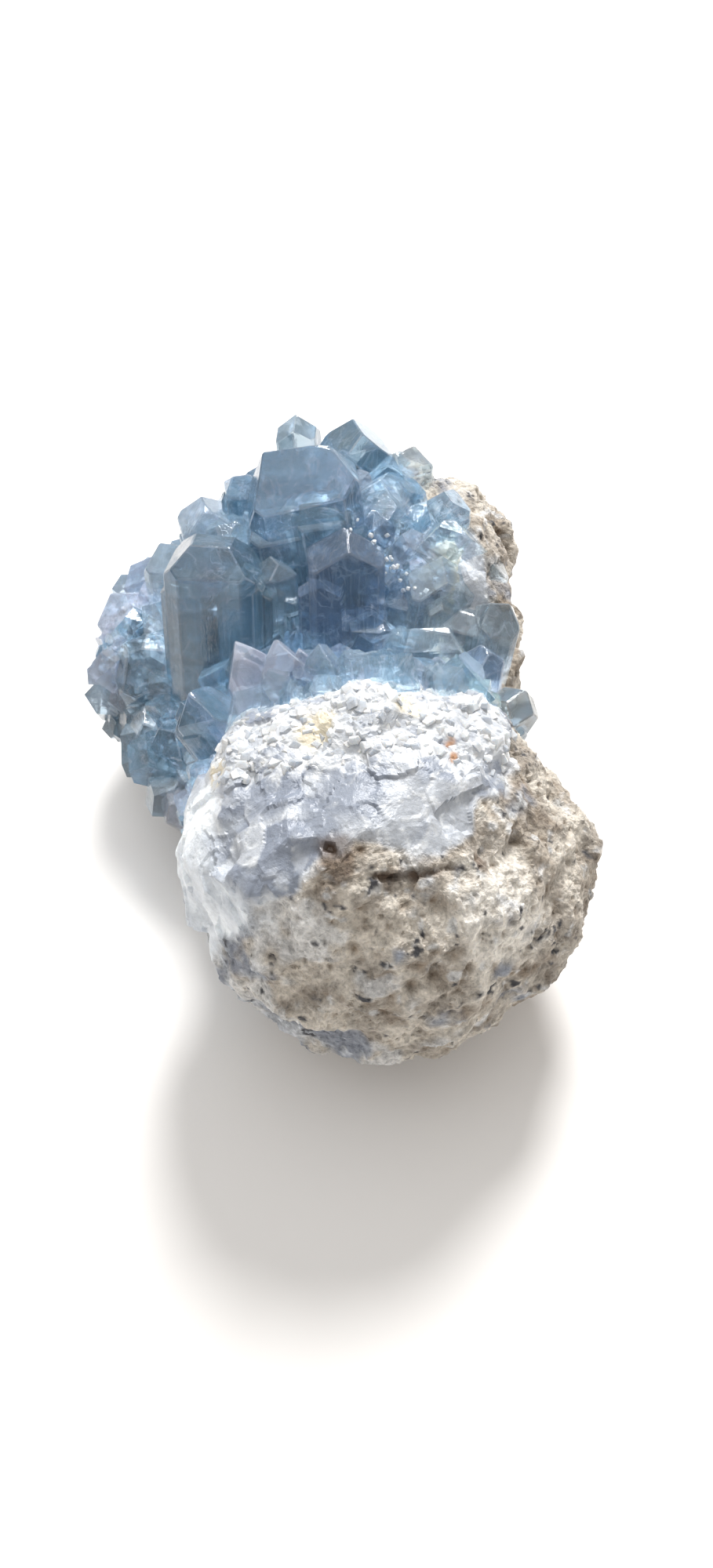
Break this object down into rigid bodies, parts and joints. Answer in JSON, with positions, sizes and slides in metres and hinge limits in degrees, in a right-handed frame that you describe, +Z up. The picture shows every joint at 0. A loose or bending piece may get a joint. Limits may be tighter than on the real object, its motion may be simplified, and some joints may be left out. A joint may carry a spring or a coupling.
{
  "type": "celestite geode",
  "caption": "Lumpy fist-sized stone with an open hollow full of pale to deep blue blocky crystals, resting on a small flat spot.",
  "frame": {"origin": "middle of the flat resting spot under the stone", "axes": "+Z up; -Y towards the bare near lobe of the stone; +X to the right of a viewer who faces +Y"},
  "size_m": [0.0919, 0.106, 0.07],
  "materials": {
    "stone": "rough broken limestone with a band of white-blue massive celestite",
    "celestite": "clear to cloudy blue crystal with flat glossy faces"
  },
  "bodies": {
    "root": {"geode_rock": "stone", "crystal_crust": "celestite"}
  },
  "joints": []
}
